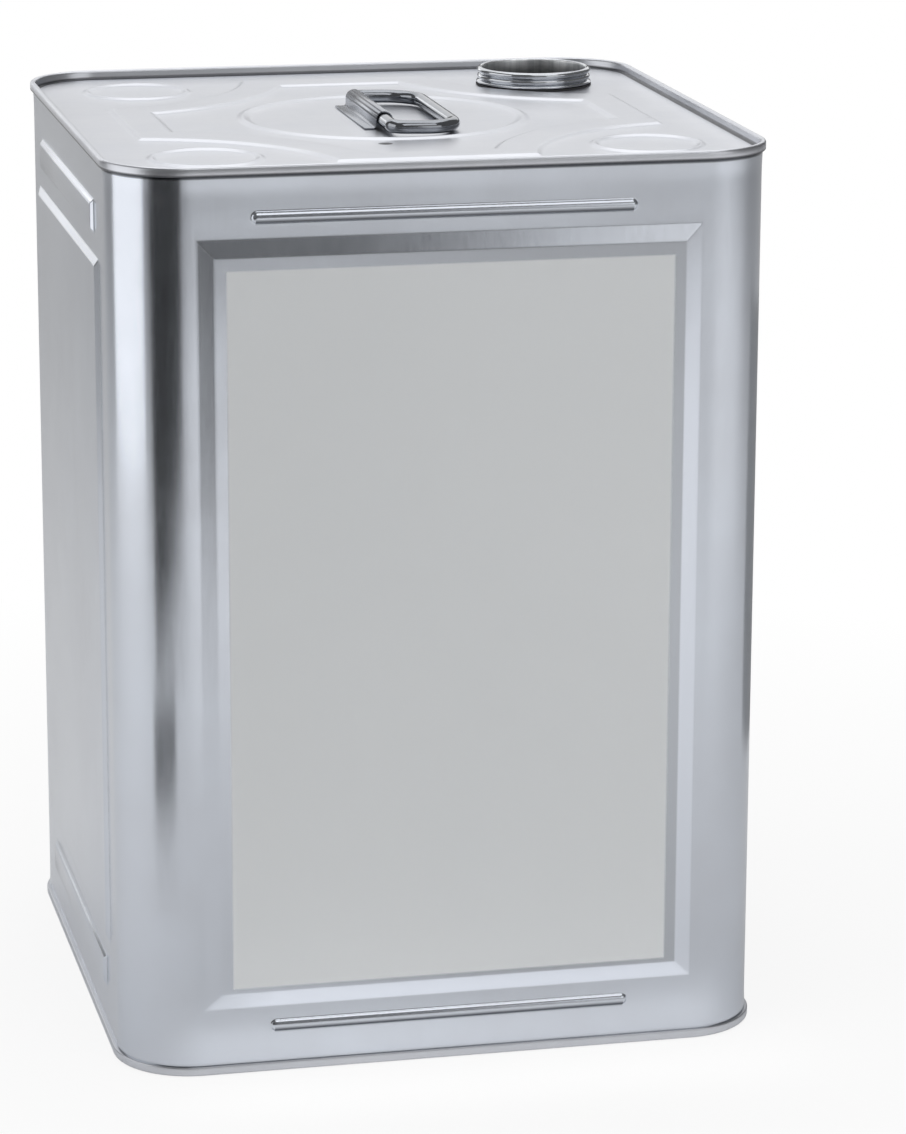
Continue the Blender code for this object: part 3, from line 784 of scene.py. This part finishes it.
def inset_chain(steps):
    """Inset the picked face again and again, each time by (inward, out of the face)."""
    for inward, outward in steps:
        if inward < 1e-7:
            bpy.ops.mesh.extrude_region_shrink_fatten(TRANSFORM_OT_shrink_fatten={"value": outward})
        else:
            bpy.ops.mesh.inset(thickness=inward, depth=outward, use_even_offset=True)


def seamed_plate(name):
    """A plate with its double seam, modelled as the top one: the round of the seam, the chuck wall
    and the flat plate as one inset after another, and the seam's rolled foot."""
    size = sizes()
    round_top = size.seam_width / 2
    foot_bend, foot_gap = 0.00045, 0.00004
    plate_bend, draft = 0.0009, 0.00025
    foot = HEIGHT - size.seam_height
    piece = round_block(name, WIDTH, foot + foot_bend, HEIGHT - round_top, size.corner)
    pick(piece, "FACE", lambda face: face.normal.z < -FACING)
    inset_chain(arc_steps(foot_bend, 3, 0, 90))
    inset_chain([(size.seam_proud - foot_bend - foot_gap, 0.0)])
    bpy.ops.mesh.delete(type="FACE")
    pick(piece, "FACE", lambda face: face.normal.z > FACING)
    drop = size.countersink - round_top - plate_bend
    inset_chain(arc_steps(round_top, 8, 0, 180))
    inset_chain([(draft, -drop)])
    inset_chain([(-a, b) for a, b in arc_steps(plate_bend, 4, 180, 270)])
    apply_modifier(piece, "SOLIDIFY", thickness=size.sheet, offset=-1)
    return piece


class PlateEmboss:
    """Where the top plate is pressed up, as shares of the embossing's height."""

    def __init__(self):
        self.size = sizes()
        place = self.size.boss_place
        self.bosses = [(-place, -place), (place, -place), (-place, place)]

    def inside(self, x, y, half, arc):
        """Distance inside a square outline with hollow corners, negative outside it."""
        centre = self.size.arc_centre
        bites = math.hypot(centre - abs(x), centre - abs(y)) - arc
        return min(half - abs(x), half - abs(y), bites)

    def edges(self, x, y):
        """Distances to the raised frame's two outlines, positive on the frame's side."""
        size = self.size
        outer = self.inside(x, y, size.frame_half, size.outer_arc)
        inner = -self.inside(x, y, size.frame_half - size.frame_width, size.inner_arc)
        return outer, inner

    def beads(self, x, y):
        """Distances to the crests of the round beads, with their widths."""
        size = self.size
        yield math.hypot(x, y) - size.ring_bead, size.ring_bead_width
        for boss_x, boss_y in self.bosses:
            yield math.hypot(x - boss_x, y - boss_y) - size.boss, size.boss_width

    def vent(self, place):
        """Share of the vent mark's depth."""
        size = self.size
        return slope(1 - math.hypot(place.x - size.vent_x, place.y - size.vent_y) / size.vent)

    def is_near(self, place, margin):
        """True where a slope or a bead is within the margin."""
        size = self.size
        x, y = place.x, place.y
        run = size.frame_slope / 2
        if math.hypot(x - size.vent_x, y - size.vent_y) < size.vent + margin:
            return True
        if any(abs(edge - run) < run + margin for edge in self.edges(x, y)):
            return max(abs(x), abs(y)) < size.frame_half + margin
        return any(abs(distance) < width / 2 + margin for distance, width in self.beads(x, y))

    def share(self, place):
        """Share of the embossing's height."""
        x, y = place.x, place.y
        raised = slope(min(self.edges(x, y)) / self.size.frame_slope)
        return max(raised, *(hump(distance, width) for distance, width in self.beads(x, y)))


def emboss_plate(piece, is_near, share_at, cell, cuts, reach):
    """Cut a flat plate into square cells, finer where it is pressed, and press it up by the shares
    that share_at gives."""
    level = HEIGHT - sizes().countersink
    margin = cell * 0.72
    count = int((reach + 2 * cell) / cell)

    def is_plate(face):
        return face.normal.z > FLAT and abs(face.calc_center_median().z - level) < TOUCH

    select_only(piece)
    bpy.ops.object.mode_set(mode="EDIT")
    for step in range(-count, count + 1):
        cut(piece, is_plate, (step * cell, 0, 0), (1, 0, 0))
        cut(piece, is_plate, (0, step * cell, 0), (0, 1, 0))
    pick(piece, "FACE", lambda face: is_plate(face) and is_near(face.calc_center_median(), margin))
    bpy.ops.mesh.subdivide(number_cuts=cuts)
    press(piece, sizes().emboss, lambda place: share_at(place) if abs(place.z - level) < TOUCH else 0.0)


def model_top_plate():
    """The top plate: seam and chuck wall, a raised frame with hollow corners, round beads, a vent
    mark and the hole under the spout."""
    size = sizes()
    piece = seamed_plate("can_top")
    level = HEIGHT - size.countersink
    emboss = PlateEmboss()
    hole, thick, place = size.bore + 0.0007, 0.01, (SPOUT.x, SPOUT.y, level)
    object_mode()
    bpy.ops.mesh.primitive_cylinder_add(vertices=96, radius=hole, depth=thick, location=place)
    punch = bpy.context.object
    apply_modifier(piece, "BOOLEAN", object=punch, operation="DIFFERENCE", solver="EXACT")
    bpy.data.objects.remove(punch, do_unlink=True)
    emboss_plate(piece, emboss.is_near, emboss.share, cell=0.003, cuts=5, reach=size.frame_half)
    press(piece, -size.vent_depth, lambda place: emboss.vent(place) if place.z > level - TOUCH else 0.0)
    return piece


def model_bottom_plate():
    """The bottom plate: the same seam, with a rounded square bead and a round one."""
    size = sizes()
    piece = seamed_plate("can_bottom")
    edge, radius, bead = 0.0325, 0.026, 0.005
    half = WIDTH / 2 - edge

    def distances(place):
        corner_x, corner_y = abs(place.x) - (half - radius), abs(place.y) - (half - radius)
        if corner_x > 0 and corner_y > 0:
            yield math.hypot(corner_x, corner_y) - radius, bead
        else:
            yield max(abs(place.x), abs(place.y)) - half, bead
        yield place.xy.length - size.ring_bead, size.ring_bead_width

    def is_near(place, margin):
        return any(abs(distance) < width / 2 + margin for distance, width in distances(place))

    def share_at(place):
        return max(hump(distance, width) for distance, width in distances(place))

    emboss_plate(piece, is_near, share_at, cell=0.0035, cuts=4, reach=half)
    settle(piece, (0, 0, HEIGHT), (math.pi, 0, 0))
    return piece


def close_ends(piece):
    """Bridge a piece's two open loops, and turn its faces outwards."""
    pick(piece, "EDGE", lambda edge: edge.is_boundary)
    bpy.ops.mesh.bridge_edge_loops()
    bpy.ops.mesh.select_all(action="SELECT")
    bpy.ops.mesh.normals_make_consistent(inside=False)


def turn_up(name, section, steps, place):
    """A turned piece from a closed section of (radius, height): one circle drawn out from point to
    point, and bridged back to its start."""
    here, height = section[0]
    centre = Vector(place)
    start = centre + Vector((0, 0, height))
    circle = bpy.ops.mesh.primitive_circle_add
    piece = begin(name, circle, vertices=steps, radius=here, fill_type="NOTHING", location=start)
    bpy.ops.mesh.select_all(action="SELECT")
    for (_, low), (radius, high) in zip(section, section[1:]):
        bpy.ops.mesh.extrude_region_move(TRANSFORM_OT_translate={"value": (0, 0, high - low)})
        scale = radius / here
        bpy.ops.transform.resize(value=(scale, scale, 1), center_override=centre)
        here = radius
    close_ends(piece)
    return piece


def bow(radius, height, bend, start, end, count):
    """Points of a section on an arc round a place, from one angle to another."""
    return [
        (radius + bend * math.cos(a), height + bend * math.sin(a)) for a in turns(start, end, count)
    ]


def spout_section():
    """Closed section of the spout: foot, lower band, waist, rolled lip, bore and clinched edge."""
    size = sizes()
    sheet, roll, round_in, tuck = 0.0004, 0.0011, 0.0009, 0.0022
    lip, bore, top = size.lip, size.bore, size.spout_height
    foot = SPOUT.z - (HEIGHT - size.countersink) + 0.0004
    # Points of (radius, height), from the foot's underside up the outside and down the bore.
    section = [(lip - 0.0003, foot), (lip + 0.0002, foot + 0.0003), (lip + 0.00025, foot + 0.0007)]
    section += [(lip, foot + 0.001), (lip - 0.0006, foot + 0.0012)]
    section += bow(lip - 0.0012, foot + 0.0025, roll, -70, 70, 8)
    section += [(lip - 0.001, foot + 0.0037)]
    section += bow(lip - roll, top - roll - 0.00015, roll, -72, 90, 10)
    section += bow(bore + round_in, top - round_in, round_in, 100, 180, 5)
    section += [(bore, -0.0003), (bore + 0.0003, -0.0009), (bore + tuck, -0.0010)]
    section += [(bore + tuck, -0.0010 + sheet), (bore + 0.0006, -0.0009 + sheet), (bore + sheet, 0.0)]
    section += [(bore + sheet, foot)]
    return section


def model_spout():
    """The spout: one turned sheet with a rolled lip and a bead round its neck."""
    place = (SPOUT.x, SPOUT.y, HEIGHT - sizes().countersink)
    return turn_up("can_spout", spout_section(), SPOUT_STEPS, place)


def model_ring():
    """The handle: wire drawn straight and bent at four corners, closed inside the clip."""
    size = sizes()
    half = size.ring_width / 2
    circle, upright = bpy.ops.mesh.primitive_circle_add, (math.pi / 2, 0, 0)
    piece = begin("can_handle", circle, vertices=32, radius=size.wire, rotation=upright)
    bpy.ops.mesh.select_all(action="SELECT")
    at = Vector((0, 0, 0))
    # Each leg: where it stops, the bend after it, and the side it bends to.
    legs = (
        ((0, half - size.rear_bend, 0), size.rear_bend, (1, 0, 0)),
        ((size.ring_reach - size.front_bend, half, 0), size.front_bend, (0, -1, 0)),
        ((size.ring_reach, -half + size.front_bend, 0), size.front_bend, (-1, 0, 0)),
        ((size.rear_bend, -half, 0), size.rear_bend, (0, 1, 0)),
    )
    for stop, bend, side in legs:
        run = Vector(stop) - at
        centre = Vector(stop) + Vector(side) * bend
        bpy.ops.mesh.extrude_region_move(TRANSFORM_OT_translate={"value": run})
        bpy.ops.mesh.spin(steps=14, angle=math.pi / 2, center=centre, axis=(0, 0, 1))
        at = centre + run.normalized() * bend
    close_ends(piece)
    settle(piece, (HINGE.x, HINGE.y + size.ring_slip, HINGE.z), (0, size.ring_fall, 0))
    return piece


def model_clip():
    """The clip: a strip with a welded foot, bent up and rolled over the wire."""
    size = sizes()
    play, bend, weld_gap, edge_round = 0.00025, 0.0008, 0.00015, 0.00012
    outer = size.wire + play + size.clip_sheet
    level = HEIGHT - size.countersink + weld_gap + size.clip_sheet
    foot = size.clip_foot - bend
    edge_x = HINGE.x - outer - bend
    stretch = (foot / size.clip_length, 1, 1)
    place = (HINGE.x - outer - bend - foot / 2, HINGE.y, level)
    plane = bpy.ops.mesh.primitive_plane_add
    piece = begin("can_clip", plane, stretch, size=size.clip_length, location=place)
    pick(piece, "EDGE", lambda edge: all(abs(v.co.x - edge_x) < 1e-6 for v in edge.verts))
    bpy.ops.mesh.spin(
        steps=5, angle=math.pi / 2, center=(edge_x, 0, level + bend), axis=(0, 1, 0)
    )
    rise = HINGE.z - level - bend
    bpy.ops.mesh.extrude_region_move(TRANSFORM_OT_translate={"value": (0, 0, rise)})
    bpy.ops.mesh.spin(steps=40, angle=size.clip_roll, center=HINGE, axis=(0, -1, 0))
    bpy.ops.mesh.select_all(action="SELECT")
    bpy.ops.mesh.normals_make_consistent(inside=False)
    apply_modifier(piece, "SOLIDIFY", thickness=size.clip_sheet, offset=-1)
    sharp = math.radians(50)
    apply_modifier(
        piece, "BEVEL", width=edge_round, segments=2, limit_method="ANGLE", angle_limit=sharp
    )
    return piece


class CAN_OT_body(bpy.types.Operator):
    """Model the can's body and give it its tinplate"""

    bl_idname = "tin_can.body"
    bl_label = "Body"

    def execute(self, context):
        finish = tinplate("body tinplate", (1, 1, 0.08), finishes().body_rough, body=True)
        finish_piece(model_body(), "can", "body_shell", finish)
        return {"FINISHED"}


class CAN_OT_plates(bpy.types.Operator):
    """Model the top and bottom plates with their double seams"""

    bl_idname = "tin_can.plates"
    bl_label = "Plates and Seams"

    def execute(self, context):
        finish = tinplate("plate tinplate", (0.08, 1, 1), finishes().plate_rough)
        finish_piece(model_top_plate(), "can", "top_plate", finish)
        finish_piece(model_bottom_plate(), "can", "bottom_plate", finish)
        return {"FINISHED"}


class CAN_OT_spout(bpy.types.Operator):
    """Model the spout and finish its gasket"""

    bl_idname = "tin_can.spout"
    bl_label = "Spout"

    def execute(self, context):
        finish = bright_steel("spout steel", (0.3, 0.3, 1), finishes().spout, inside_spout)
        finish_piece(model_spout(), "can", "spout_neck", finish)
        look = finishes()
        rubber = dull_filler(
            "gasket rubber", look.rubber, look.bloom,
            cells=700, mixed=0.5, roughness=0.55, spread=0.25, relief=0.00004,
        )
        frame["nodes"]["spout_gasket"].data.materials[0] = rubber
        return {"FINISHED"}


class CAN_OT_handle(bpy.types.Operator):
    """Model the wire ring and its clip"""

    bl_idname = "tin_can.handle"
    bl_label = "Handle and Clip"

    def execute(self, context):
        wire = bright_steel("handle wire", (1, 1, 1), finishes().wire)
        finish_piece(model_ring(), "handle", "handle_ring", wire)
        finish_piece(model_clip(), "can", "handle_clip", clip_steel())
        return {"FINISHED"}


class CAN_OT_compound(bpy.types.Operator):
    """Give the sealing compound in the seams its finish"""

    bl_idname = "tin_can.compound"
    bl_label = "Sealing Compound"

    def execute(self, context):
        look = finishes()
        finish = dull_filler(
            "sealing compound", look.compound, look.compound_dark,
            cells=400, mixed=0.6, roughness=0.6, spread=0.2, relief=0.00006,
        )
        for name in ("top_seam_compound", "bottom_seam_compound"):
            frame["nodes"][name].data.materials[0] = finish
        return {"FINISHED"}


class CAN_OT_stage(bpy.types.Operator):
    """Set up the floor, the light and the camera"""

    bl_idname = "tin_can.stage"
    bl_label = "Stage"

    def execute(self, context):
        make_floor()
        make_world(context.scene)
        make_lights()
        make_camera(context.scene)
        return {"FINISHED"}


def make_floor():
    """Plain pale floor that shows as white and keeps the can's shadow."""
    object_mode()
    width, drop = 12, 0.0005
    bpy.ops.mesh.primitive_plane_add(size=width, location=(0, 0, -drop))
    floor = bpy.context.object
    floor.name = "floor"
    finish = Finish("floor", 0.0)
    finish.set(Base_Color=opaque(finishes().floor), Roughness=0.9)
    camera_ray = finish.node("ShaderNodeLightPath", "Is Camera Ray")
    distance = finish.node("ShaderNodeVectorMath", "Value", {"operation": "LENGTH"}, {0: finish.place()})
    whiteness = finish.ramp(distance, (0.12, 0.86), (0.55, 1.0))
    glow = finish.node("ShaderNodeEmission", "Emission", None, {"Color": (1, 1, 1, 1), "Strength": 1.0})
    surface = Shade(finish, finish.shader.outputs["BSDF"])
    shaders = {0: camera_ray * whiteness, 1: surface, 2: glow}
    mixed = finish.node("ShaderNodeMixShader", "Shader", None, shaders)
    finish.tree.links.new(mixed.socket, finish.tree.nodes["Material Output"].inputs["Surface"])
    floor.data.materials.append(finish.material)


def make_world(scene):
    """Dim surroundings, which show as white behind the can."""
    dim, white = 0.14, 1.0
    world = bpy.data.worlds.new("surroundings")
    world.use_nodes = True
    nodes, links = world.node_tree.nodes, world.node_tree.links
    background = nodes["Background"]
    background.inputs["Color"].default_value = (1, 1, 1, 1)
    ray = nodes.new("ShaderNodeLightPath")
    level = nodes.new("ShaderNodeMapRange")
    level.inputs["To Min"].default_value = dim
    level.inputs["To Max"].default_value = white
    links.new(ray.outputs["Is Camera Ray"], level.inputs["Value"])
    links.new(level.outputs["Result"], background.inputs["Strength"])
    scene.world = world


def softbox(name, place, target, size, level, turn=0):
    """Rectangular light of one brightness level (1 shows as white in a mirror), facing a place and
    turned so many degrees about its own axis."""
    object_mode()
    bpy.ops.object.light_add(type="AREA", location=place)
    light = bpy.context.object
    light.name = name
    light.data.shape = "RECTANGLE"
    light.data.size, light.data.size_y = size
    light.data.energy = level * math.pi * size[0] * size[1]
    light.rotation_euler = (Vector(target) - Vector(place)).to_track_quat("-Z", "Y").to_euler()
    light.rotation_euler.rotate_axis("Z", math.radians(turn))
    return light


def flag(name, first, second, height, tone):
    """Upright dark card between two places on the floor, seen only in reflections."""
    first, second = Vector((*first, 0)), Vector((*second, 0))
    object_mode()
    bpy.ops.mesh.primitive_plane_add(size=1)
    card = bpy.context.object
    card.name = name
    card.scale = ((second - first).length, height, 1)
    run = second - first
    card.rotation_euler = (math.pi / 2, 0, math.atan2(run.y, run.x))
    card.location = (first + second) / 2 + Vector((0, 0, height / 2))
    finish = Finish(name, 0.0)
    finish.set(Base_Color=(tone, tone, tone, 1), Roughness=1.0, Specular_IOR_Level=0.0)
    card.data.materials.append(finish.material)
    card.visible_camera = False
    card.visible_diffuse = False
    card.visible_shadow = False


def make_lights():
    """Soft boxes overhead, behind, in front and at the left, lights for the floor that no mirror and
    no camera sees, and dark flags at the front left and the back right."""
    # Each light: name, place, target, size, level and turn.
    softboxes = (
        ("overhead light", (0.15, 0.35, 1.5), (0.1, 0, 0.3), (1.4, 1.3), 1.25),
        ("high back light", (0.3, 2.4, 1.6), (0.3, 0, 1.2), (3.4, 1.9), 0.86),
        ("low back light", (-0.75, 2.4, 0.42), (0, 0, 0.3), (0.8, 0.84), 0.9),
        ("left light", (-0.95, 0.02, 0.45), (0, 0.02, 0.3), (1.05, 0.9), 0.92),
        ("front light", (1.72, -2.3, 0.8), (1.22, 0, 0.2), (2.2, 1.3), 0.8),
        ("high front light", (0.4, -1.2, 1.75), (0, 0, 0.2), (1.6, 0.9), 1.1),
    )
    floor_lights = (
        ("right floor light", (0.58, -0.71, 0.2), (0.58, -0.71, 0), (0.2, 0.8), 0.32, 39),
        ("far front floor light", (0.4, -1.75, 0.45), (0.4, -1.75, 0), (0.6, 0.8), 0.85),
        ("far right floor light", (1.28, -0.85, 0.35), (1.28, -0.85, 0), (1.1, 1.3), 0.7),
        ("front floor light", (0.05, -1.05, 0.25), (0.05, -1.05, 0), (0.3, 0.9), 0.85),
        ("left floor light", (-0.5, -0.45, 0.9), (-0.35, -0.25, 0), (0.5, 0.5), 1.9),
        ("foot light", (0.01, -0.15, 0.035), (0.01, -0.125, 0), (0.23, 0.015), 2.2),
    )
    for settings in softboxes:
        softbox(*settings)
    for settings in floor_lights:
        light = softbox(*settings)
        light.visible_glossy = False
        light.visible_camera = False
    flag("front left flag", (-0.25, -1.08), (-0.55, -0.42), 0.25, 0.05)
    flag("low front left flag", (-0.25, -0.42), (-0.38, -0.27), 0.045, 0.2)
    flag("back right flag", (0.47, 0.02), (0.25, 0.29), 0.2, 0.5)


def make_camera(scene):
    """Camera at the photograph's place."""
    data = bpy.data.cameras.new("camera")
    camera = bpy.data.objects.new("camera", data)
    scene.collection.objects.link(camera)
    camera.location = (-0.324434, -1.552775, 0.569556)
    camera.rotation_euler = tuple(math.radians(a) for a in (75.29499, -0.19593, -12.70576))
    data.sensor_width = 36
    data.lens = 137.1325
    data.clip_start, data.clip_end = 0.05, 50
    scene.camera = camera


class CAN_PT_panel(bpy.types.Panel):
    """The can's pieces, sizes and finishes"""

    bl_idname = "CAN_PT_panel"
    bl_label = "Tin Can"
    bl_space_type = "VIEW_3D"
    bl_region_type = "UI"
    bl_category = "Tin Can"

    def draw(self, context):
        column = self.layout.column(align=True)
        for operator in OPERATORS:
            column.operator(operator.bl_idname)
        for group in (context.scene.can_sizes, context.scene.can_finishes):
            column.separator()
            for name in group.bl_rna.properties.keys():
                if name not in ("rna_type", "name"):
                    column.prop(group, name)


OPERATORS = (CAN_OT_body, CAN_OT_plates, CAN_OT_spout, CAN_OT_handle, CAN_OT_compound, CAN_OT_stage)
CLASSES = (CanSizes, CanFinishes, *OPERATORS, CAN_PT_panel)


def register():
    """Register the classes and add their settings to the scene."""
    for item in CLASSES:
        bpy.utils.register_class(item)
    bpy.types.Scene.can_sizes = PointerProperty(type=CanSizes)
    bpy.types.Scene.can_finishes = PointerProperty(type=CanFinishes)


def unregister():
    """Take the settings and the classes out again."""
    del bpy.types.Scene.can_finishes
    del bpy.types.Scene.can_sizes
    for item in reversed(CLASSES):
        bpy.utils.unregister_class(item)


def main():
    """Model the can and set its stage."""
    register()
    bpy.ops.tin_can.body()
    bpy.ops.tin_can.plates()
    bpy.ops.tin_can.spout()
    bpy.ops.tin_can.handle()
    bpy.ops.tin_can.compound()
    bpy.ops.tin_can.stage()
    bpy.context.scene.view_settings.view_transform = "Standard"


if __name__ == "__main__":
    main()
